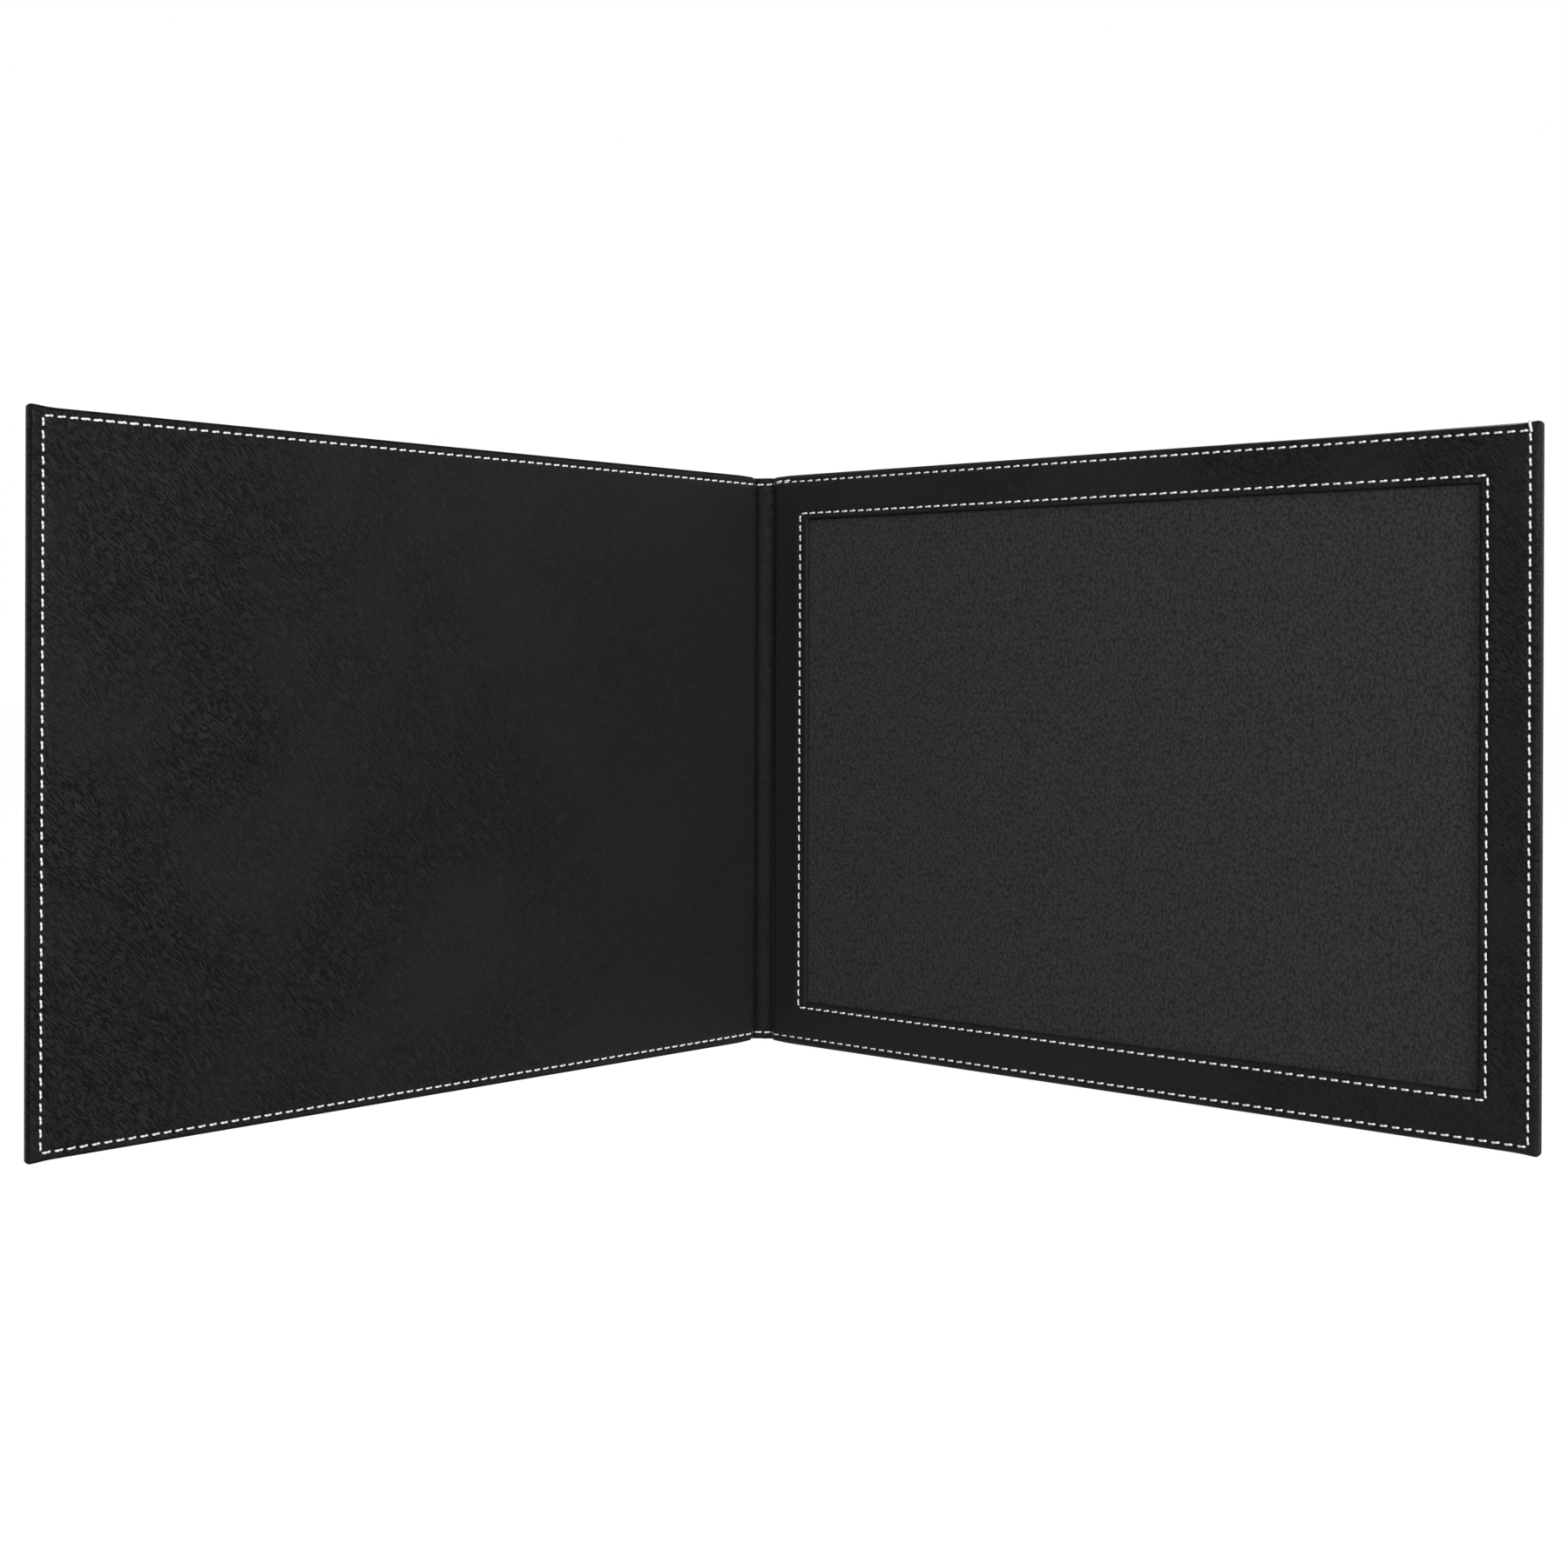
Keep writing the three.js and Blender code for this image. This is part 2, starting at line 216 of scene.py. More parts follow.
# Black polyurethane leatherette, embossed with a fine creased grain and calendered to a soft satin.
# Long slanting furrows lie side by side in patches, deepest towards the ends the hands bend.
# Its colour carries painted shade in the furrows and across the strip, and painted light towards the spine.
leather = {
    "dark": "#080808",
    "light": "#222222",
    "gutterPaintedShade": 0.45,  # painted shade: the strip between the creases is painted darker, standing in for the shade in the crease
    "wrinkleMm": 0.85,
    "wrinkleStretch": 0.2,
    "wrinkleSlant": math.radians(-46),
    "wrinkleDepthMm": 0.36,
    "swellShare": 0.6,
    "furrowShare": 0.75,
    "furrowNarrow": 0.07,
    "swirlMm": 20.0,
    "swirlPullMm": 5.0,
    "patchMm": 60.0,
    "patchLeast": 0.4,
    "wearAndLightFromMm": 60,  # measured from the middle of the strip
    "wearAndLightToMm": 290,
    "wearAndLightNear": 0.3,
    "wearAndLightFar": 1.25,
    "plainToneAndLight": 0.95,  # tone where the furrows are faint, 0 dark to 1 light: between the patches, and towards the spine as painted light
    "poreMm": 0.4,
    "poreDepthMm": 0.015,
    "roughLow": 0.42,
    "roughHigh": 0.56,
    "specular": 0.085,
}


def makeLeather(name, tone):
    made, tree = newMaterial(name)
    spot = addNode(tree, "ShaderNodeAttribute", attribute_name="flatPlace").outputs["Vector"]
    across = addNode(tree, "ShaderNodeSeparateXYZ", {0: spot})
    fromMiddle = addNode(tree, "ShaderNodeMath", {0: across, 1: spineWidth / 2 * mm}, operation="ADD")
    offMiddle = addNode(tree, "ShaderNodeMath", {0: fromMiddle}, operation="ABSOLUTE")
    swirl = addNode(tree, "ShaderNodeTexNoise", {
        "Vector": spot, "Scale": perMetre(leather["swirlMm"]), "Detail": 1.0,
    })
    pull = addNode(tree, "ShaderNodeVectorMath", {
        0: swirl.outputs["Color"], "Scale": leather["swirlPullMm"] * mm,
    }, operation="SCALE")
    bent = addNode(tree, "ShaderNodeVectorMath", {0: spot, 1: pull}, operation="ADD")
    turned = addNode(tree, "ShaderNodeMapping", {
        "Vector": bent, "Rotation": (0, 0, -leather["wrinkleSlant"]),
    })
    drawn = addNode(tree, "ShaderNodeMapping", {
        "Vector": turned, "Scale": (leather["wrinkleStretch"], 1.0, 1.0),
    })
    swell = addNode(tree, "ShaderNodeTexNoise", {
        "Vector": drawn, "Scale": perMetre(leather["wrinkleMm"]), "Detail": 1.0, "Roughness": 0.4,
    })
    fromHalf = addNode(tree, "ShaderNodeMath", {0: swell, 1: -0.5}, operation="ADD")
    away = addNode(tree, "ShaderNodeMath", {0: fromHalf}, operation="ABSOLUTE")
    furrow = addNode(tree, "ShaderNodeMapRange", {
        "Value": away, "From Max": leather["furrowNarrow"],
    }, interpolation_type="SMOOTHSTEP")
    lessFurrow = addNode(tree, "ShaderNodeMath", {
        0: furrow, 1: leather["furrowShare"],
    }, operation="MULTIPLY")
    wrinkle = addNode(tree, "ShaderNodeMath", {
        0: swell, 1: leather["swellShare"], 2: lessFurrow,
    }, operation="MULTIPLY_ADD")
    patch = addNode(tree, "ShaderNodeTexNoise", {
        "Vector": spot, "Scale": perMetre(leather["patchMm"]), "Detail": 2.0,
    })
    patchShare = addNode(tree, "ShaderNodeMapRange", {
        "Value": patch, "From Min": 0.36, "From Max": 0.6, "To Min": leather["patchLeast"], "To Max": 1.0,
    })
    # The furrows deepen towards the ends the hands bend. Through the colour, this also paints the leather
    # lighter towards the spine than at the outer ends, a painted light
    wearAndPaintedLight = addNode(tree, "ShaderNodeMapRange", {
        "Value": offMiddle, "From Min": leather["wearAndLightFromMm"] * mm, "From Max": leather["wearAndLightToMm"] * mm,
        "To Min": leather["wearAndLightNear"], "To Max": leather["wearAndLightFar"],
    })
    strength = addNode(tree, "ShaderNodeMath", {0: patchShare, 1: wearAndPaintedLight}, operation="MULTIPLY")
    shownWrinkle = addNode(tree, "ShaderNodeMath", {0: wrinkle, 1: strength}, operation="MULTIPLY")
    pore = addNode(tree, "ShaderNodeTexNoise", {
        "Vector": spot, "Scale": perMetre(leather["poreMm"]), "Detail": 2.0, "Roughness": 0.6,
    })
    poreDepth = addNode(tree, "ShaderNodeMath", {
        0: pore, 1: leather["poreDepthMm"] * mm,
    }, operation="MULTIPLY")
    depth = addNode(tree, "ShaderNodeMath", {
        0: shownWrinkle, 1: leather["wrinkleDepthMm"] * mm, 2: poreDepth,
    }, operation="MULTIPLY_ADD")
    relief = addNode(tree, "ShaderNodeBump", {"Height": depth, "Strength": 1.0, "Distance": 1.0})
    # Painted shade: the furrows of the grain are coloured darker and the ridges lighter, as light and shade
    # would fall on them
    lit = addNode(tree, "ShaderNodeMapRange", {"Value": wrinkle, "From Min": 0.4, "From Max": 1.25})
    plain = addNode(tree, "ShaderNodeMapRange", {
        "Value": strength, "To Min": leather["plainToneAndLight"], "To Max": 0.0,
    })
    shade = addNode(tree, "ShaderNodeMath", {0: lit, 1: strength, 2: plain}, operation="MULTIPLY_ADD")
    colour = addNode(tree, "ShaderNodeMix", {
        0: shade, 6: paint(leather["dark"], tone), 7: paint(leather["light"], tone),
    }, data_type="RGBA")
    # Painted shade: the colour is darkened across the middle of the strip, where the crease lies in shade
    gutterShadeShare = addNode(tree, "ShaderNodeMapRange", {
        "Value": offMiddle, "From Min": 0.35 * spineWidth * mm, "From Max": 0.6 * spineWidth * mm,
        "To Min": leather["gutterPaintedShade"], "To Max": 1.0,
    })
    paintedGutterShade = addNode(tree, "ShaderNodeMix", {
        0: gutterShadeShare, 6: (0, 0, 0, 1), 7: colour.outputs[2],
    }, data_type="RGBA")
    roughness = addNode(tree, "ShaderNodeMapRange", {
        "Value": swell, "From Min": 0.3, "From Max": 0.7,
        "To Min": leather["roughLow"], "To Max": leather["roughHigh"],
    })
    shader = addNode(tree, "ShaderNodeBsdfPrincipled", {
        "Base Color": paintedGutterShade.outputs[2], "Roughness": roughness,
        "Specular IOR Level": leather["specular"], "Normal": relief,
    })
    addNode(tree, "ShaderNodeOutputMaterial", {"Surface": shader})
    return made


# Matte pebbled backing sheet, a brushed flock-like paper: no shine, a fine upright grain.
backing = {
    "dark": "#272727",
    "light": "#404040",
    "pebbleMm": 0.85,
    "grainMm": 0.4,
    "upright": 0.6,
    "depthMm": 0.28,
    "roughness": 0.92,
    "specular": 0.12,
}


def makeBacking():
    made, tree = newMaterial("pebbled backing sheet")
    spot = addNode(tree, "ShaderNodeTexCoord").outputs["Object"]
    drawn = addNode(tree, "ShaderNodeMapping", {"Vector": spot, "Scale": (1.0, 1.0, backing["upright"])})
    pebble = addNode(tree, "ShaderNodeTexVoronoi", {
        "Vector": drawn, "Scale": perMetre(backing["pebbleMm"]), "Smoothness": 0.6,
    }, feature="SMOOTH_F1").outputs["Distance"]
    grain = addNode(tree, "ShaderNodeTexNoise", {
        "Vector": drawn, "Scale": perMetre(backing["grainMm"]), "Detail": 3.0, "Roughness": 0.65,
    })
    rise = addNode(tree, "ShaderNodeMath", {0: pebble, 1: 0.5, 2: grain}, operation="MULTIPLY_ADD")
    depth = addNode(tree, "ShaderNodeMath", {0: rise, 1: backing["depthMm"] * mm}, operation="MULTIPLY")
    relief = addNode(tree, "ShaderNodeBump", {"Height": depth, "Strength": 1.0, "Distance": 1.0})
    fleck = addNode(tree, "ShaderNodeMath", {0: pebble, 1: -0.6, 2: grain}, operation="MULTIPLY_ADD")
    shade = addNode(tree, "ShaderNodeMapRange", {"Value": fleck, "From Min": 0.05, "From Max": 0.4})
    colour = addNode(tree, "ShaderNodeMix", {
        0: shade, 6: paint(backing["dark"]), 7: paint(backing["light"]),
    }, data_type="RGBA")
    shader = addNode(tree, "ShaderNodeBsdfPrincipled", {
        "Base Color": colour.outputs[2], "Roughness": backing["roughness"],
        "Specular IOR Level": backing["specular"], "Normal": relief,
    })
    addNode(tree, "ShaderNodeOutputMaterial", {"Surface": shader})
    return made


# Bonded polyester sewing thread, twisted from two plies: off-white with a faint silky edge.
threadLook = {
    "shade": "#fdfdfb",
    "shadow": "#f0efec",
    "fibreMm": 0.12,
    "fibreDepthMm": 0.03,
    "roughness": 0.6,
    "specular": 0.3,
}


def makeThread():
    made, tree = newMaterial("bonded polyester thread")
    spot = addNode(tree, "ShaderNodeTexCoord").outputs["Object"]
    fibre = addNode(tree, "ShaderNodeTexNoise", {"Vector": spot, "Scale": perMetre(threadLook["fibreMm"])})
    depth = addNode(tree, "ShaderNodeMath", {
        0: fibre, 1: threadLook["fibreDepthMm"] * mm,
    }, operation="MULTIPLY")
    relief = addNode(tree, "ShaderNodeBump", {"Height": depth, "Strength": 1.0, "Distance": 1.0})
    colour = addNode(tree, "ShaderNodeMix", {
        0: fibre, 6: paint(threadLook["shadow"]), 7: paint(threadLook["shade"]),
    }, data_type="RGBA")
    shader = addNode(tree, "ShaderNodeBsdfPrincipled", {
        "Base Color": colour.outputs[2], "Roughness": threadLook["roughness"],
        "Specular IOR Level": threadLook["specular"], "Normal": relief,
    })
    addNode(tree, "ShaderNodeOutputMaterial", {"Surface": shader})
    return made


# Greyboard, pressed from waste pulp: flecked, dead matte.
pulp = {"dark": "#7d7a73", "light": "#98948b", "fleckMm": 0.8, "roughness": 0.95, "specular": 0.1}


def makeGreyboard():
    made, tree = newMaterial("greyboard")
    spot = addNode(tree, "ShaderNodeTexCoord").outputs["Object"]
    fleck = addNode(tree, "ShaderNodeTexNoise", {
        "Vector": spot, "Scale": perMetre(pulp["fleckMm"]), "Detail": 4.0, "Roughness": 0.7,
    })
    colour = addNode(tree, "ShaderNodeMix", {
        0: fleck, 6: paint(pulp["dark"]), 7: paint(pulp["light"]),
    }, data_type="RGBA")
    shader = addNode(tree, "ShaderNodeBsdfPrincipled", {
        "Base Color": colour.outputs[2], "Roughness": pulp["roughness"],
        "Specular IOR Level": pulp["specular"],
    })
    addNode(tree, "ShaderNodeOutputMaterial", {"Surface": shader})
    return made


liningLeather = makeLeather("black leatherette lining", 1.0)
# Painted shade: the outside is the same leatherette as the lining, painted at 0.6 of its brightness so its
# edges stand in shade
outerLeatherPaintedShade = makeLeather("black leatherette outside", 0.6)
backingSheet = makeBacking()
whiteThread = makeThread()
greyboard = makeGreyboard()


def dress(nodeName, material):
    node = frame["nodes"][nodeName]
    if not node.material_slots:
        node.data.materials.append(material)
    for materialSlot in node.material_slots:
        materialSlot.material = material


dress("frame_card", greyboard)
dress("window_backing", backingSheet)
print("materials made")


# Relief pressed into a sheet by its seams
puckers = {
    "depth": 0.16,
    "hole": 0.14,
    "width": 0.75,
    "puff": 0.1,  # the leather swells beside the seam
    "puffAway": 1.9,
    "puffWidth": 0.9,
    "wave": 0.1,  # a board is never quite flat
}


def legDent(a, z, leg):
    (a0, z0), (a1, z1) = leg
    length = math.hypot(a1 - a0, z1 - z0)
    ta, tz = (a1 - a0) / length, (z1 - z0) / length
    along = (a - a0) * ta + (z - z0) * tz
    aside = np.abs((a - a0) * tz - (z - z0) * ta)
    outside = np.maximum(0, np.maximum(-along, along - length))
    away = np.hypot(aside, outside)
    pitch = length / max(1, round(length / seam["pitch"]))
    hole = 0.5 + 0.5 * np.cos(2 * np.pi * along / pitch)
    dent = (puckers["depth"] + puckers["hole"] * hole) * np.exp(-(away / puckers["width"]) ** 2)
    puff = puckers["puff"] * np.exp(-((away - puckers["puffAway"]) / puckers["puffWidth"]) ** 2)
    return dent - puff


def reliefOf(legs, seed):
    def relief(a, z):
        dent = np.zeros_like(a)
        for leg in legs:
            press = legDent(a, z, leg)
            dent = np.where(np.abs(press) > np.abs(dent), press, dent)
        wave = np.sin(a / 23 + seed) * np.sin(z / 31 + 2 * seed) + 0.6 * np.sin(a / 61 + z / 47 + 3 * seed)
        return dent + puckers["wave"] * 0.5 * wave
    return relief


bottom = seam["bottom"]


def seamTop(side, end):
    return height - seam["top"][side][end]


def coverLegs(side):
    far = coverEnd - seam["outer"][side]
    top = seamTop(side, 1)
    return [
        ((seam["near"], seamTop(side, 0)), (far, top)),
        ((far, top), (far, bottom)),
        ((far, bottom), (seam["near"], bottom)),
    ]


def stripLegs(side):
    return [
        ((-spineWidth / 2, height - seam["spineTop"]), (seam["near"], seamTop(side, 0))),
        ((seam["near"], bottom), (-spineWidth / 2, bottom)),
    ]


w0 = crease + window["spine"]
w1 = coverEnd - window["outer"]
wLow = window["bottom"]
wTop = height - window["top"]
windowLegs = [
    ((w0, wLow), (w1, wLow)),
    ((w1, wLow), (w1, wTop)),
    ((w1, wTop), (w0, wTop)),
    ((w0, wTop), (w0, wLow)),
]


# Stations of a grid: half-pitch steps along seams, close steps across them
def halfSteps(start, end):
    count = 2 * max(1, round(abs(end - start) / seam["pitch"]))
    return list(np.linspace(start, end, count + 1))


def acrossSeam(centre):
    return [centre + step for step in (-1.9, -1.1, -0.55, 0, 0.55, 1.1, 1.9)]


def stations(first, others, low, high, apart=0.35):
    kept = []
    for value in first + others:
        if low < value < high and all(abs(value - k) > apart for k in kept):
            kept.append(value)
    return sorted(kept)


# A rounded edge: the face's own stations and those of its back, from the flat to the end of the wall
def edgeStations(edge, inward, face, end, radius, thick):
    way = 1 if end > face else -1
    made = []
    for turn in (0, 30, 60, 90):
        t = math.radians(turn)
        x = edge + inward * radius * (1 - math.sin(t))
        back = edge + inward * max(thick, radius * (1 - math.sin(t)))
        made.append((x, face + way * radius * (1 - math.cos(t)), back, face + way * thick))
    made.append((edge, end, edge + inward * thick, end))
    return made


# A closed sheet from a grid. columns: (a, h, back a, back h, end h); rows: (z, share, back z, back share).
# hole: the columns and rows around an opening, with the share of height left at each step from its edge.
def sheetParts(side, columns, rows, relief=None, hole=None):
    col = np.array(columns)
    row = np.array(rows)
    end = col[:, 4:5]
    faceA = np.repeat(col[:, 0:1], len(row), 1)
    faceZ = np.repeat(row[None, :, 0], len(col), 0)
    faceH = end + (col[:, 1:2] - end) * row[None, :, 1]
    backA = np.repeat(col[:, 2:3], len(row), 1)
    backZ = np.repeat(row[None, :, 2], len(col), 0)
    backH = end + (col[:, 3:4] - end) * row[None, :, 3]
    way = np.sign(end - col[:, 1:2] + 1e-9)
    solidCells = np.ones((len(col) - 1, len(row) - 1), bool)
    if relief is not None:
        flat = (row[None, :, 1] > 0.999) * np.ones_like(end)
        faceH = faceH + way * flat * relief(faceA, faceZ) * easeBetween(0, 0.3, np.abs(end - col[:, 1:2]))
    if hole is not None:
        i0, i1, j0, j1 = hole["cells"]
        solidCells[i0:i1, j0:j1] = False
        i, j = np.indices(faceA.shape)
        steps = np.maximum(np.maximum(i0 - i, i - i1), np.maximum(j0 - j, j - j1))
        faceShare = np.array(hole["face"])[np.clip(steps, 0, len(hole["face"]) - 1)]
        backShare = np.array(hole["back"])[np.clip(steps, 0, len(hole["back"]) - 1)]
        faceH = hole["end"] + (faceH - hole["end"]) * faceShare
        backH = hole["end"] + (backH - hole["end"]) * backShare
    count = faceA.size
    number = np.arange(count).reshape(faceA.shape)
    points = np.concatenate([
        place(side, faceA, faceZ, faceH).reshape(-1, 3),
        place(side, backA, backZ, backH).reshape(-1, 3),
    ])
    flatX = -unrolled(side, np.concatenate([faceA.ravel(), backA.ravel()]))
    flat = np.stack([
        flatX,
        np.concatenate([faceZ.ravel(), backZ.ravel()]),
        np.concatenate([faceH.ravel(), backH.ravel()]),
    ], axis=1) * mm
    faces = []
    padded = np.pad(solidCells, 1)
    for i, j in zip(*np.nonzero(solidCells)):
        a, b, c, d = number[i, j], number[i + 1, j], number[i + 1, j + 1], number[i, j + 1]
        faces.append((a, b, c, d))
        faces.append((count + d, count + c, count + b, count + a))
        if not padded[i, j + 1]:
            faces.append((a, d, count + d, count + a))
        if not padded[i + 2, j + 1]:
            faces.append((c, b, count + b, count + c))
        if not padded[i + 1, j]:
            faces.append((b, a, count + a, count + b))
        if not padded[i + 1, j + 2]:
            faces.append((d, c, count + c, count + d))
    used = sorted({v for face in faces for v in face})
    renumber = {v: n for n, v in enumerate(used)}
    faces = [tuple(renumber[v] for v in face) for face in faces]
    return points[used], flat[used], faces


def plainPlate(side, aLine, zLine, h0, h1, hole=None):
    columns = [(a, h1, a, h0, h0) for a in aLine]
    rows = [(z, 1, z, 1) for z in zLine]
    return sheetParts(side, columns, rows, None, {
        "cells": hole, "face": [1], "back": [1], "end": h0,
    } if hole else None)


meshing = {"mergeMetres": 2e-6, "emptyMetres": 1e-7, "sharpDegrees": 55}


def sheetObject(name, partsList, material):
    points, flat, faces = [], [], []
    for partPoints, partFlat, partFaces in partsList:
        shift = sum(len(p) for p in points)
        points.append(partPoints)
        flat.append(partFlat)
        faces += [tuple(v + shift for v in face) for face in partFaces]
    mesh = bpy.data.meshes.new(name)
    mesh.from_pydata(np.concatenate(points).tolist(), [], faces)
    attribute = mesh.attributes.new("flatPlace", "FLOAT_VECTOR", "POINT")
    attribute.data.foreach_set("vector", np.concatenate(flat).astype(np.float32).ravel())
    work = bmesh.new()
    work.from_mesh(mesh)
    bmesh.ops.remove_doubles(work, verts=work.verts, dist=meshing["mergeMetres"])
    bmesh.ops.dissolve_degenerate(work, edges=work.edges, dist=meshing["emptyMetres"])
    bmesh.ops.recalc_face_normals(work, faces=work.faces)
    work.to_mesh(mesh)
    work.free()
    mesh.shade_smooth()
    mesh.set_sharp_from_angle(angle=math.radians(meshing["sharpDegrees"]))
    mesh.materials.append(material)
    made = bpy.data.objects.new(name, mesh)
    scene.collection.objects.link(made)
    return made


# Each cover's shoulder at the crease: its rounding, the height of the valley beside it, its reach
creaseShape = {1: (2.4, 2.3, 2.0), -1: (1.0, 1.0, 1.0)}


# The sheet's way from the cover's shoulder down to the valley of the crease and over half the strip.
# Each entry: a, h of the face.
def creaseWay(shoulder, roundness, valley, ease):
    crown = sheets["skin"] + 0.2 + sheets["liningThick"] + 0.6
    rise = crown - valley
    return [
        (crease + roundness, shoulder),
        (crease + 0.45 * roundness, shoulder - 0.12 * roundness),
        (crease + 0.1 * roundness, shoulder - 0.5 * roundness),
        (crease - 0.05, shoulder - 0.9 * roundness),
        (crease - 0.15 * ease, 0.5 * (shoulder - 0.9 * roundness) + 0.5 * (valley + 0.5)),
        (crease - 0.3 * ease, valley + 0.5),
        (crease - 0.6 * ease, valley + 0.24),
        (crease - 1.0 * ease, valley + 0.07),
        (-0.2, valley),
        (-0.7, valley + 0.07 * rise),
        (-1.2, valley + 0.24 * rise),
        (-1.9, valley + 0.5 * rise),
        (-2.8, valley + 0.78 * rise),
        (-3.7, valley + 0.95 * rise),
        (-spineWidth / 2, crown),
    ]


def innerColumns(side, aLine, face, end, roundOuter, thick, edge):
    columns = []
    for x, h, back, backH in reversed(edgeStations(edge, -1, face, end, roundOuter, thick)):
        columns.append((x, h, back, backH, end))
    for a in reversed(aLine):
        columns.append((a, face, a, face - thick, end))
    wayDown = creaseWay(face, *creaseShape[side])
    floor = sheets["skin"] + 0.06
    for n, (a, h) in enumerate(wayDown):
        onWall = n in (3, 4, 5)  # where the way runs down beside the cover's edge
        lift = max(0.0, 1 - n / 4)
        backA = a + thick * (1 - lift * 0.2) if onWall else a
        backH = face - thick if n < 3 else max(floor, h - thick * (0.8 if onWall else 1))
        columns.append((a, h, backA, min(backH, h - 0.12), min(end, backH) if n < 4 else floor))
    return columns


def rowStations(zLine, low, high, face, end, radius, thick):
    depth = abs(face - end)
    rows = []
    for z, h, back, backH in reversed(edgeStations(low, 1, face, end, radius, thick)):
        rows.append((z, abs(h - end) / depth, back, 0.0 if h == end else 1.0))
    for z in zLine:
        rows.append((z, 1.0, z, 1.0))
    for z, h, back, backH in edgeStations(high, -1, face, end, radius, thick):
        rows.append((z, abs(h - end) / depth, back, 0.0 if h == end else 1.0))
    return rows


def columnStations(side, others, low, high):
    far = coverEnd - seam["outer"][side]
    return stations(acrossSeam(far) + others, halfSteps(seam["near"], far), low, high)


def rowLine(side, others, low, high):
    top = (seamTop(side, 0) + seamTop(side, 1)) / 2
    first = acrossSeam(bottom) + acrossSeam(top) + others
    return stations(first, halfSteps(bottom, seamTop(side, 1)), low, high)


# Plain lining of the left cover, running on over its half of the strip
def makeLining():
    inset = sheets["liningInset"]
    face, low = sheets["liningTop"], sheets["liningLow"]
    radius, thick = sheets["liningRound"], sheets["liningThick"]
    aLine = columnStations(-1, [], crease + 1.0, coverEnd - inset - radius - 0.2)
    zLine = rowLine(-1, [], inset + radius + 0.2, height - inset - radius - 0.2)
    columns = innerColumns(-1, aLine, face, low, radius, thick, coverEnd - inset)
    rows = rowStations(zLine, inset, height - inset, face, low, radius, thick)
    relief = reliefOf(coverLegs(-1) + stripLegs(-1), 0.7)
    return sheetObject("left_lining_leather", [sheetParts(-1, columns, rows, relief)], liningLeather)


# Window frame of the right cover: rolled at the outer edges, folded under its card at the window
def makeFrame():
    face, low, radius, thick = frameTop, sheets["liningLow"], sheets["frameRound"], sheets["frameThick"]
    lip = window["lip"]
    hole0, hole1 = w0 + window["spineLip"], w1 - lip
    holeLow, holeTop = wLow + lip, wTop - lip
    roundLip = window["lipRound"]
    rim = [roundLip * (1 - math.sin(math.radians(t))) for t in window["lipTurns"]]
    drop = [roundLip * (1 - math.cos(math.radians(t))) for t in window["lipTurns"]]
    deep = face - sheets["pocketTop"]
    rimA = [hole0 - r for r in rim[::-1]] + [hole0, hole1] + [hole1 + r for r in rim]
    rimZ = [holeLow - r for r in rim[::-1]] + [holeLow, holeTop] + [holeTop + r for r in rim]

    def lineAround(line, edge0, edge1, rimLine):
        away = roundLip + 0.12
        line = [v for v in line if not (edge0 - away < v < edge0 + 0.3 or edge1 - 0.3 < v < edge1 + away)]
        return sorted(line + rimLine)

    seamsAcross = acrossSeam(w0) + acrossSeam(w1)
    aLine = columnStations(1, seamsAcross, crease + 1.0, coverEnd - radius - 0.2)
    aLine = lineAround(aLine, hole0, hole1, rimA)
    zLine = rowLine(1, acrossSeam(wLow) + acrossSeam(wTop), radius + 0.2, height - radius - 0.2)
    zLine = lineAround(zLine, holeLow, holeTop, rimZ)
    columns = innerColumns(1, aLine, face, low, radius, thick, coverEnd)
    rows = rowStations(zLine, 0.0, height, face, low, radius, thick)
    columnPlaces = [c[0] for c in columns]
    rowPlaces = [r[0] for r in rows]
    # columns run from the outer edge to the strip, so the far side of the window comes first
    i0 = max(n for n, v in enumerate(columnPlaces) if abs(v - hole1) < 1e-9)
    i1 = min(n for n, v in enumerate(columnPlaces) if abs(v - hole0) < 1e-9)
    j0 = max(n for n, v in enumerate(rowPlaces) if abs(v - holeLow) < 1e-9)
    j1 = min(n for n, v in enumerate(rowPlaces) if abs(v - holeTop) < 1e-9)
    columns = [list(c) for c in columns]
    rows = [list(r) for r in rows]
    for n, c in enumerate(columns):
        if hole0 - thick < c[0] <= hole0:
            c[2] = hole0 - thick
        if hole1 <= c[0] < hole1 + thick:
            c[2] = hole1 + thick
    for r in rows:
        if holeLow - thick < r[0] <= holeLow:
            r[2] = holeLow - thick
        if holeTop <= r[0] < holeTop + thick:
            r[2] = holeTop + thick
    hole = {
        "cells": (i0, i1, j0, j1),
        "face": [0.0] + [1 - d / deep for d in drop],
        "back": [0.0, 1.0],
        "end": sheets["pocketTop"],
    }
    relief = reliefOf(coverLegs(1) + stripLegs(1) + windowLegs, 0.2)
    parts = [sheetParts(1, columns, rows, relief, hole)]
    turn = sheets["frameTurn"]
    inner = thick + sheets["lap"]
    parts.append(plainPlate(
        1,
        [hole0 - turn, hole0 - inner, hole1 + inner, hole1 + turn],
        [holeLow - turn, holeLow - inner, holeTop + inner, holeTop + turn],
        sheets["pocketTop"], sheets["pocketTop"] + thick, (1, 2, 1, 2),
    ))
    return sheetObject("window_frame_leather", parts, liningLeather)


# Where the outside is pinched at a crease: place, and how deep it is drawn in
pinch = [(1.4, 0.05), (1.0, 0.1), (0.5, 0.14), (0, 0.15), (-0.5, 0.12), (-1.0, 0.06), (-1.7, 0.0)]


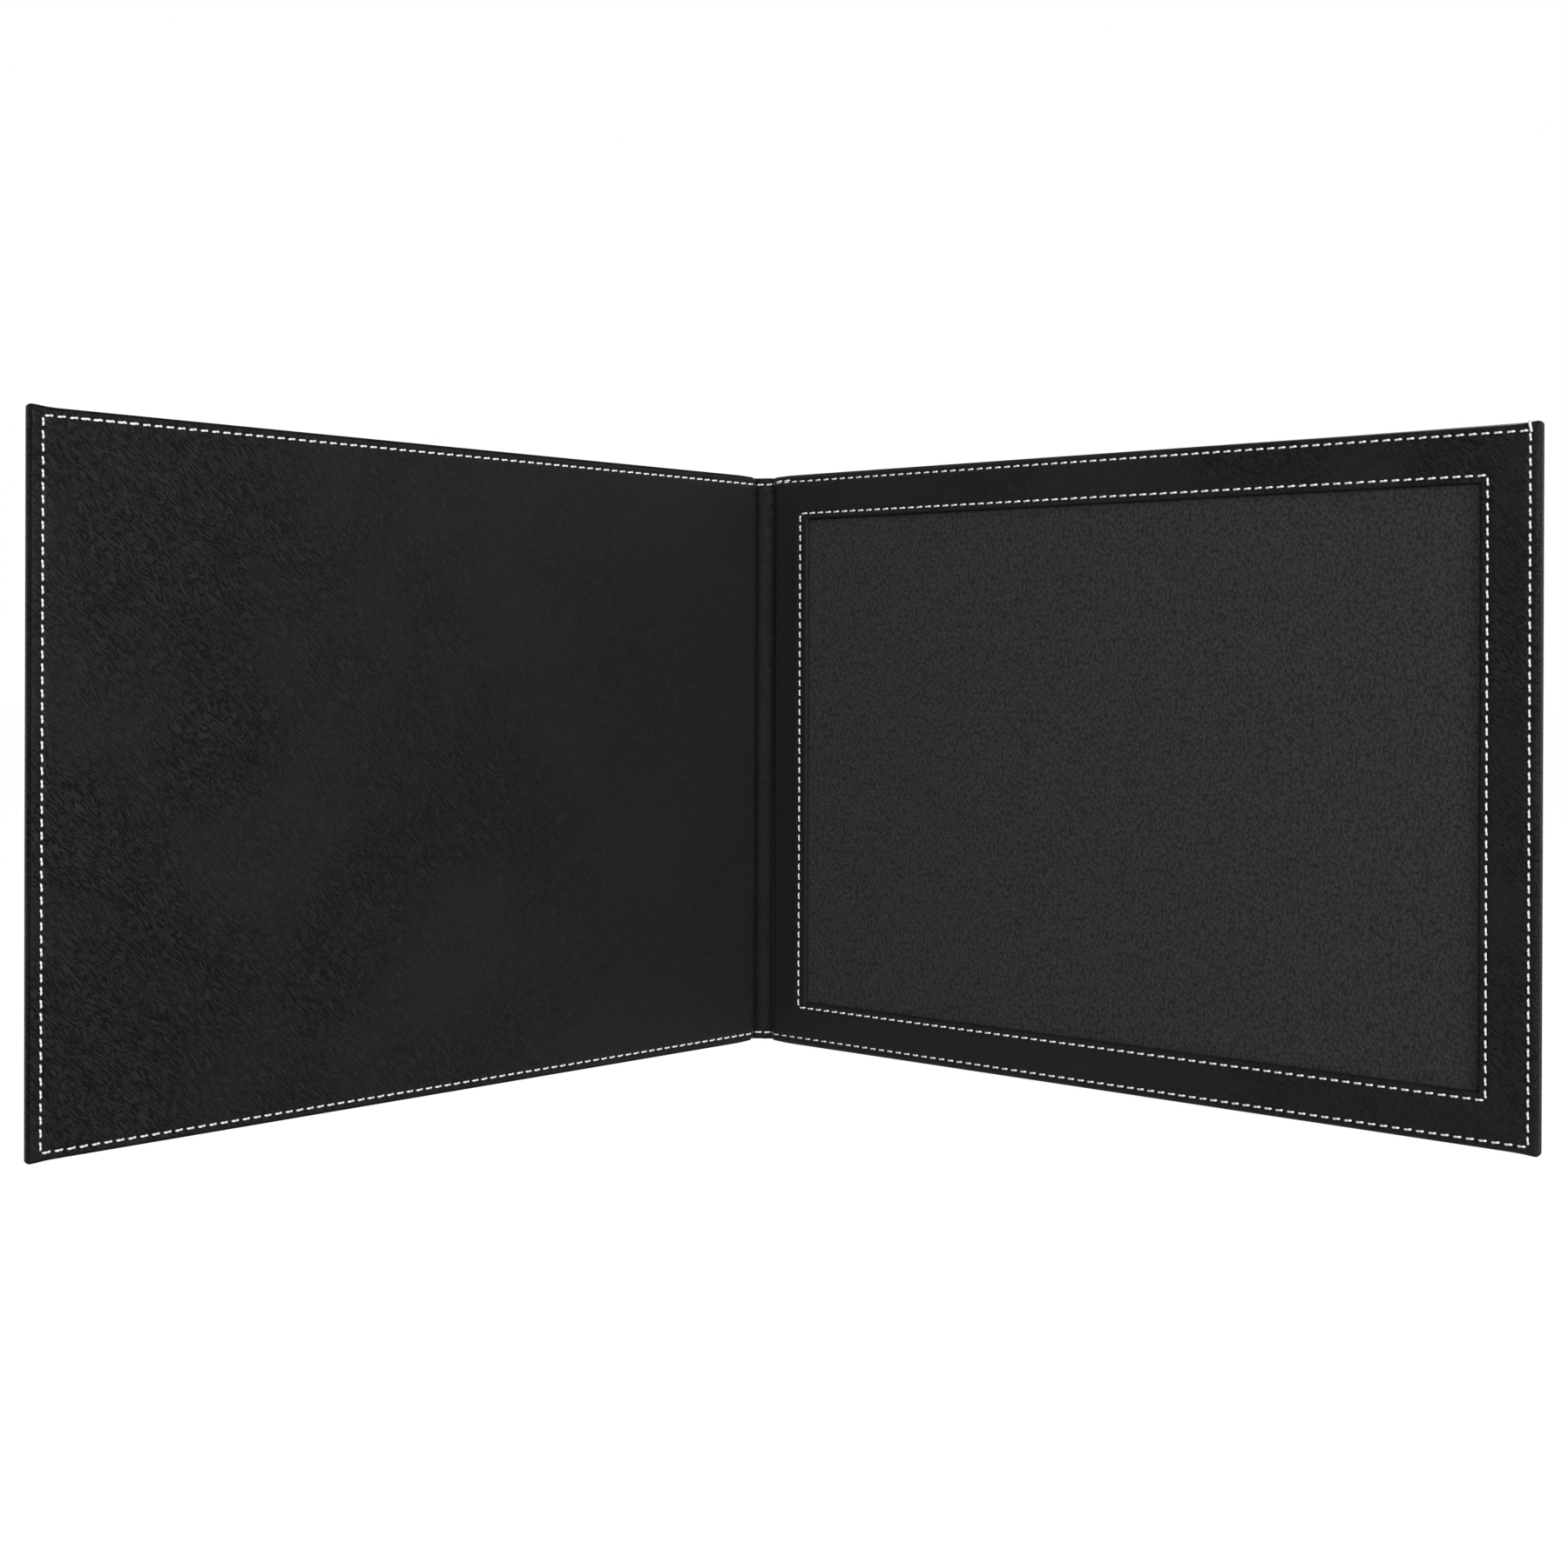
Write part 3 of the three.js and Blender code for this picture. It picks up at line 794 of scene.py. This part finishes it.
# Outer leatherette of one cover, folded over three edges and running on over half the strip
def makeOutside(side, name):
    radius, thick = sheets["outsideRound"], sheets["skin"]
    aLine = columnStations(side, [], crease + 0.5, coverEnd - radius - 0.2)
    zLine = rowLine(side, [], radius + 0.2, height - radius - 0.2)
    columns = []
    for x, h, back, backH in reversed(edgeStations(coverEnd, -1, 0.0, boardTop, radius, thick)):
        columns.append((x, h, back, backH, boardTop))
    for a in reversed(aLine):
        columns.append((a, 0.0, a, thick, boardTop))
    # at the crease and on the strip the edge is the skin alone
    for a, press in pinch + [(-2.8, 0.0), (-3.8, 0.0), (-spineWidth / 2, 0.0)]:
        columns.append((a, press, a, thick, thick))
    rows = rowStations(zLine, 0.0, height, 0.0, boardTop, radius, thick)
    relief = reliefOf(coverLegs(side) + stripLegs(side), 1.9 + side)
    parts = [sheetParts(side, columns, rows, relief)]
    turn, gap = sheets["turnIn"], thick + sheets["lap"]
    parts.append(plainPlate(
        side,
        [crease + 1.2, coverEnd - turn, coverEnd - gap],
        [gap, turn, height - turn, height - gap],
        boardTop - thick, boardTop, (0, 1, 1, 2),
    ))
    return sheetObject(name, parts, outerLeatherPaintedShade)


# Greyboard, pressed thinner at its edges under the turned-in leatherette
boardFit = {"fromCrease": 1.2, "inEdge": 0.3, "inTurn": 0.2, "play": 0.25, "below": 0.05}


def makeBoard(side, name):
    start = crease + boardFit["fromCrease"]
    edge, inner = sheets["skin"] + boardFit["inEdge"], sheets["turnIn"] + boardFit["inTurn"]
    low = sheets["skin"] + boardFit["play"]
    thin = boardTop - sheets["skin"] - boardFit["play"]
    high = boardTop - boardFit["below"]
    parts = [
        plainPlate(side, [start, coverEnd - edge], [edge, height - edge], low, thin),
        plainPlate(side, [start, coverEnd - inner], [inner, height - inner], thin + sheets["lap"], high),
    ]
    return sheetObject(name, parts, greyboard)


lining = makeLining()
frameLeather = makeFrame()
outsideRight = makeOutside(1, "right_outer_leather")
outsideLeft = makeOutside(-1, "left_outer_leather")
boards = {"right": makeBoard(1, "right_pressed_board"), "left": makeBoard(-1, "left_pressed_board")}
made = (lining, frameLeather, outsideRight, outsideLeft)
print("leather sheets made, faces", [len(piece.data.polygons) for piece in made])


# One lockstitch on top of the leather: two twisted plies that dive into the needle holes at both ends
stitch = {
    "length": 3.15,
    "ply": 0.26,
    "twist": 0.17,
    "turns": 1.1,  # half turns of the plies from the middle to an end
    "rise": 0.3,
    "dive": 0.95,
    "sides": 4,
    "steps": 6,
    "seat": 0.16,  # how deep its line lies under the face
    "stripSeat": 0.2,  # and on the outside of the strip
}


def makeStitch():
    points, faces = [], []
    for ply in (0, 1):
        base = len(points)
        for n in range(stitch["steps"] + 1):
            t = 2 * n / stitch["steps"] - 1
            turn = math.pi * (stitch["turns"] * t + ply)
            fade = 1 - 0.55 * abs(t) ** 4
            x = t * stitch["length"] / 2
            y = stitch["twist"] * math.sin(turn) * fade
            z = stitch["rise"] + stitch["twist"] * 0.6 * math.cos(turn) * fade - stitch["dive"] * abs(t) ** 6
            for s in range(stitch["sides"]):
                angle = 2 * math.pi * s / stitch["sides"]
                r = stitch["ply"] * (1 - 0.25 * abs(t) ** 4)
                points.append((x * mm, (y + r * math.cos(angle)) * mm, (z + r * math.sin(angle)) * mm))
        for n in range(stitch["steps"]):
            for s in range(stitch["sides"]):
                a = base + n * stitch["sides"] + s
                b = base + n * stitch["sides"] + (s + 1) % stitch["sides"]
                faces.append((a, b, b + stitch["sides"], a + stitch["sides"]))
        last = base + stitch["steps"] * stitch["sides"]
        faces.append(tuple(base + s for s in range(stitch["sides"])))
        faces.append(tuple(last + s for s in reversed(range(stitch["sides"]))))
    mesh = bpy.data.meshes.new("lockstitch")
    mesh.from_pydata(points, [], faces)
    work = bmesh.new()
    work.from_mesh(mesh)
    bmesh.ops.recalc_face_normals(work, faces=work.faces)
    work.to_mesh(mesh)
    work.free()
    mesh.shade_smooth()
    return bpy.data.objects.new("lockstitch", mesh)


# Geometry Nodes: lays stitches end to end along each stretch of a seam line
def makeSeamTree():
    tree = bpy.data.node_groups.new("lockstitch seam", "GeometryNodeTree")
    sockets = [
        ("Seam line", "NodeSocketGeometry"), ("Stitch", "NodeSocketObject"), ("Pitch", "NodeSocketFloat"),
        ("Slant", "NodeSocketFloat"), ("Unevenness", "NodeSocketFloat"), ("Seed", "NodeSocketInt"),
        ("Thread", "NodeSocketMaterial"),
    ]
    for name, kind in sockets:
        tree.interface.new_socket(name, in_out="INPUT", socket_type=kind)
    tree.interface.new_socket("Seam", in_out="OUTPUT", socket_type="NodeSocketGeometry")
    given = addNode(tree, "NodeGroupInput").outputs
    curve = addNode(tree, "GeometryNodeMeshToCurve", {"Mesh": given["Seam line"]})
    length = addNode(tree, "GeometryNodeSplineLength")
    ratio = addNode(tree, "ShaderNodeMath", {0: length, 1: given["Pitch"]}, operation="DIVIDE")
    whole = addNode(tree, "ShaderNodeMath", {0: ratio}, operation="ROUND")
    atLeast = addNode(tree, "ShaderNodeMath", {0: whole, 1: 1.0}, operation="MAXIMUM")
    count = addNode(tree, "ShaderNodeMath", {0: atLeast, 1: 2.0, 2: 1.0}, operation="MULTIPLY_ADD")
    even = addNode(tree, "GeometryNodeResampleCurve", {"Curve": curve, "Count": count}, mode="COUNT")
    order = addNode(tree, "GeometryNodeSplineParameter").outputs["Index"]
    odd = addNode(tree, "ShaderNodeMath", {0: order, 1: 2.0}, operation="MODULO")
    tangent = addNode(tree, "GeometryNodeInputTangent")
    facing = addNode(tree, "GeometryNodeInputNamedAttribute", {"Name": "facing"}, data_type="FLOAT_VECTOR")
    upright = addNode(tree, "FunctionNodeAxesToRotation", {
        "Primary Axis": tangent, "Secondary Axis": facing,
    }, primary_axis="X", secondary_axis="Z")
    shape = addNode(tree, "GeometryNodeObjectInfo", {"Object": given["Stitch"]}).outputs["Geometry"]
    laid = addNode(tree, "GeometryNodeInstanceOnPoints", {
        "Points": even, "Selection": odd, "Instance": shape, "Rotation": upright,
    })
    shake = addNode(tree, "FunctionNodeRandomValue", {
        2: -0.5, 3: 0.5, "Seed": given["Seed"],
    }, data_type="FLOAT").outputs[1]
    turn = addNode(tree, "ShaderNodeMath", {
        0: shake, 1: given["Unevenness"], 2: given["Slant"],
    }, operation="MULTIPLY_ADD")
    lean = addNode(tree, "ShaderNodeCombineXYZ", {"Z": turn})
    leant = addNode(tree, "GeometryNodeRotateInstances", {"Instances": laid, "Rotation": lean})
    real = addNode(tree, "GeometryNodeRealizeInstances", {"Geometry": leant})
    dressed = addNode(tree, "GeometryNodeSetMaterial", {"Geometry": real, "Material": given["Thread"]})
    out = tree.nodes.new("NodeGroupOutput")
    tree.links.new(dressed.outputs[0], out.inputs[0])
    return tree


stitchShape = makeStitch()
seamTree = makeSeamTree()
seamLook = {"slant": math.radians(5), "unevenness": math.radians(5)}


# A seam line as a bare mesh: stretches of points, each with the way its leather faces
def seamLine(name, side, stretches, heightOf, outwards=False):
    points, edges, facing = [], [], []
    for (a0, z0), (a1, z1) in stretches:
        steps = 2 if abs(a1 - a0) > 20 or abs(z1 - z0) > 20 else 24
        start = len(points)
        for n in range(steps + 1):
            t = n / steps
            a, z = a0 + (a1 - a0) * t, z0 + (z1 - z0) * t
            h = heightOf(a)
            at = place(side, a, z, h)
            ahead = place(side, a, z, h + (-0.1 if outwards else 0.1))
            points.append(at)
            facing.append((ahead - at) / np.linalg.norm(ahead - at))
            if n:
                edges.append((start + n - 1, start + n))
    mesh = bpy.data.meshes.new(name + "_line")
    mesh.from_pydata([p.tolist() for p in points], edges, [])
    attribute = mesh.attributes.new("facing", "FLOAT_VECTOR", "POINT")
    attribute.data.foreach_set("vector", np.array(facing, np.float32).ravel())
    made = bpy.data.objects.new(name + "_line", mesh)
    scene.collection.objects.link(made)
    return made


def sewSeam(name, line, seed):
    modifier = line.modifiers.new("seam", "NODES")
    modifier.node_group = seamTree
    values = {
        "Stitch": stitchShape, "Pitch": seam["pitch"] * mm, "Slant": seamLook["slant"],
        "Unevenness": seamLook["unevenness"], "Seed": seed, "Thread": whiteThread,
    }
    for item in seamTree.interface.items_tree:
        if item.in_out == "INPUT" and item.name in values:
            modifier[item.identifier] = values[item.name]
    bpy.context.view_layer.update()
    evaluated = line.evaluated_get(bpy.context.evaluated_depsgraph_get())
    mesh = bpy.data.meshes.new_from_object(evaluated)
    mesh.name = name
    line.modifiers.clear()
    bpy.data.objects.remove(line)
    made = bpy.data.objects.new(name, mesh)
    scene.collection.objects.link(made)
    return made


insideHeights = {
    1: creaseWay(frameTop, *creaseShape[1]),
    -1: creaseWay(sheets["liningTop"], *creaseShape[-1]),
}


def insideHeight(side):
    way = sorted(insideHeights[side])
    spots = [a for a, h in way]
    heights = [h for a, h in way]
    return lambda a: float(np.interp(a, spots, heights)) - stitch["seat"]


def outsideHeight(a):
    return stitch["seat"] if a > crease else stitch["stripSeat"]


# Doubled stitches along the top edge where the seam was started and ended.
# right, left: the first stitch doubled, counted from the crease, and how many.
backTack = {"offset": 0.3, "shift": 0.5, "right": (0, 2), "left": (67, 5)}


def tackStretch(side, first, count):
    z = seamTop(side, 0) + backTack["offset"]
    far = coverEnd - seam["outer"][side]
    step = (far - seam["near"]) / round((far - seam["near"]) / seam["pitch"])
    start = seam["near"] + first * step + backTack["shift"]
    return ((start, z), (start + count * step, z))


seams = {}
for side, word in ((1, "right"), (-1, "left")):
    above, below = stripLegs(side)
    legs = [above, *coverLegs(side), below]
    inside = legs + [tackStretch(side, *backTack[word])]
    name = word + "_inside_stitches"
    seams[name] = sewSeam(name, seamLine(name, side, inside, insideHeight(side)), 3 + side)
    name = word + "_outside_stitches"
    seams[name] = sewSeam(name, seamLine(name, side, legs, outsideHeight, True), 7 + side)
windowStitches = sewSeam(
    "window_stitches", seamLine("window_stitches", 1, windowLegs, lambda a: frameTop - stitch["seat"]), 11,
)
print("seams sewn", {n: len(o.data.polygons) for n, o in seams.items()}, len(windowStitches.data.polygons))


cornerLoop = {"clear": 0.3, "radius": 0.45}


# A stray loop of thread that runs from the corner hole over the top edge
def makeCornerLoop():
    far = coverEnd - seam["outer"][1]
    top = seamTop(1, 1)
    edge = height + cornerLoop["clear"]
    route = [
        (far + 0.2, top - 0.3, frameTop - 0.3),
        (far + 0.1, top + 0.8, frameTop + 0.22),
        (far - 0.2, top + 2.2, frameTop + 0.2),
        (far - 0.3, edge - 0.3, frameTop - 0.25),
        (far - 0.3, edge, frameTop - 1.4),
        (far - 0.2, edge, 1.2),
        (far - 0.1, edge - 0.35, -0.1),
        (far, top + 1.0, -0.28),
        (far, top - 0.3, 0.2),
    ]
    curve = bpy.data.curves.new("corner_stitch", "CURVE")
    curve.dimensions = "3D"
    curve.bevel_depth = cornerLoop["radius"] * mm
    curve.bevel_resolution = 3
    curve.use_fill_caps = True
    spline = curve.splines.new("NURBS")
    spline.points.add(len(route) - 1)
    spline.order_u = 3
    spline.use_endpoint_u = True
    for point, (a, z, h) in zip(spline.points, route):
        point.co = (*place(1, a, z, h), 1)
    holder = bpy.data.objects.new("corner_stitch_curve", curve)
    scene.collection.objects.link(holder)
    bpy.context.view_layer.update()
    mesh = bpy.data.meshes.new_from_object(holder.evaluated_get(bpy.context.evaluated_depsgraph_get()))
    bpy.data.objects.remove(holder)
    mesh.name = "corner_stitch"
    mesh.shade_smooth()
    mesh.materials.clear()
    mesh.materials.append(whiteThread)
    made = bpy.data.objects.new("corner_stitch", mesh)
    scene.collection.objects.link(made)
    return made


cornerStitch = makeCornerLoop()

# Each piece that crosses a crease has its place baked into its mesh; its bend there is already in its shape
reach = sheets["bendReach"]


def acrossCrease(piece, side):
    start = place(side, reach, height / 2, halfSkin)
    end = place(side, -reach, height / 2, halfSkin)
    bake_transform(piece)


acrossCrease(frameLeather, 1)
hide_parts("frame_skin", "spine_lining")
acrossCrease(lining, -1)
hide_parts("left_lining")
acrossCrease(outsideRight, 1)
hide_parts("right_outer_skin", "spine_outer_skin")
acrossCrease(outsideLeft, -1)
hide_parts("left_outer_skin")
threadNodes = {
    "right_inside_stitches": ("right_seam_thread_inside", "spine_thread_inside_top"),
    "left_inside_stitches": ("left_seam_thread_inside", "spine_thread_inside_bottom"),
    "right_outside_stitches": ("right_seam_thread_outside", "spine_thread_outside_top"),
    "left_outside_stitches": ("left_seam_thread_outside", "spine_thread_outside_bottom"),
}
for name, piece in seams.items():
    acrossCrease(piece, 1 if name.startswith("right") else -1)
    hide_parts(*threadNodes[name])
for word, board in boards.items():
    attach(board, word + "_cover")
    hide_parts(word + "_board")
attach(windowStitches, "right_cover")
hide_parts("window_seam_thread")
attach(cornerStitch, "right_cover")
print("pieces tied to the frame")

# Floor, light and camera
studio = {
    "floor": "#e8e8e8",
    "floorSeen": "#606060",
    "floorGlow": 0.97,
    "floorSize": 8.0,
    "floorLevel": -0.0006,
    "ambient": 0.17,
    "key": {"watts": 27.0, "near": 2.4, "aside": -0.3, "up": 0.8},  # metres from the middle of the part
    "fill": {"watts": 36.0, "near": 1.9, "aside": 1.4, "up": 0.6},
    "lampSize": 1.2,
}


# Rays from the camera, or mirrored or bent on their way to it
def seenShare(tree):
    path = addNode(tree, "ShaderNodeLightPath").outputs
    either = addNode(tree, "ShaderNodeMath", {
        0: path["Is Camera Ray"], 1: path["Is Glossy Ray"],
    }, operation="MAXIMUM")
    return addNode(tree, "ShaderNodeMath", {0: either, 1: path["Is Transmission Ray"]}, operation="MAXIMUM")


# White sweep: it glows for the eye alone, and what it reflects on top still carries the shadow
def makeFloor():
    size, low = studio["floorSize"], studio["floorLevel"]
    mesh = bpy.data.meshes.new("floor")
    corners = [(-size, -size, low), (size, -size, low), (size, size, low), (-size, size, low)]
    mesh.from_pydata(corners, [], [(0, 1, 2, 3)])
    made, tree = newMaterial("white paper sweep")
    seen = seenShare(tree)
    colour = addNode(tree, "ShaderNodeMix", {
        0: seen, 6: paint(studio["floor"]), 7: paint(studio["floorSeen"]),
    }, data_type="RGBA")
    lit = addNode(tree, "ShaderNodeBsdfDiffuse", {"Color": colour.outputs[2]})
    strength = addNode(tree, "ShaderNodeMath", {0: seen, 1: studio["floorGlow"]}, operation="MULTIPLY")
    glow = addNode(tree, "ShaderNodeEmission", {"Strength": strength})
    both = addNode(tree, "ShaderNodeAddShader", {0: lit, 1: glow})
    addNode(tree, "ShaderNodeOutputMaterial", {"Surface": both})
    mesh.materials.append(made)
    floor = bpy.data.objects.new("floor", mesh)
    scene.collection.objects.link(floor)


def makeWorld():
    world = bpy.data.worlds.new("plain studio")
    scene.world = world
    world.use_nodes = True
    tree = world.node_tree
    tree.nodes.clear()
    strength = addNode(tree, "ShaderNodeMapRange", {
        "Value": seenShare(tree), "To Min": studio["ambient"], "To Max": 1.0,
    })
    sky = addNode(tree, "ShaderNodeBackground", {"Color": (1, 1, 1, 1), "Strength": strength})
    addNode(tree, "ShaderNodeOutputWorld", {"Surface": sky})


def makeLamp(name, towards):
    look = studio[name]
    toCamera = Vector((math.sin(view["yaw"]), -math.cos(view["yaw"]), 0))
    sideways = Vector((math.cos(view["yaw"]), math.sin(view["yaw"]), 0))
    at = towards + toCamera * look["near"] + sideways * look["aside"] + Vector((0, 0, look["up"]))
    lamp = bpy.data.lights.new(name, "AREA")
    lamp.energy = look["watts"]
    lamp.size = studio["lampSize"]
    made = bpy.data.objects.new(name, lamp)
    made.location = at
    made.rotation_euler = (towards - at).to_track_quat("-Z", "Y").to_euler()
    scene.collection.objects.link(made)


# Camera, matched to the photograph: level, with the picture's centre right of and below its axis
view = {
    "place": (354.2, -484.8, 151.7),
    "yaw": math.radians(37.92),
    "roll": 0.004,
    "focalPixels": 2186.9,
    "axisX": 846.4,
    "axisY": 776.6,
    "picture": 1800,
}


def makeCamera():
    data = bpy.data.cameras.new("camera")
    data.sensor_width = 36
    data.lens = view["focalPixels"] / view["picture"] * data.sensor_width
    data.shift_x = (view["picture"] / 2 - view["axisX"]) / view["picture"]
    data.shift_y = (view["axisY"] - view["picture"] / 2) / view["picture"]
    data.clip_start = 0.01
    made = bpy.data.objects.new("camera", data)
    right = Vector((math.cos(view["yaw"]), math.sin(view["yaw"]), 0))
    up = Vector((0, 0, 1))
    back = right.cross(up)
    tilted = right * math.cos(view["roll"]) + up * math.sin(view["roll"])
    upright = up * math.cos(view["roll"]) - right * math.sin(view["roll"])
    turn = Matrix((tilted, upright, back)).transposed()
    made.matrix_world = Matrix.Translation(Vector(view["place"]) * mm) @ turn.to_4x4()
    scene.collection.objects.link(made)
    scene.camera = made


makeFloor()
makeWorld()
middle = (cadBox[0] + cadBox[1]) / 2
makeLamp("key", middle)
makeLamp("fill", middle)
makeCamera()
scene.view_settings.view_transform = "Standard"
print("studio set")
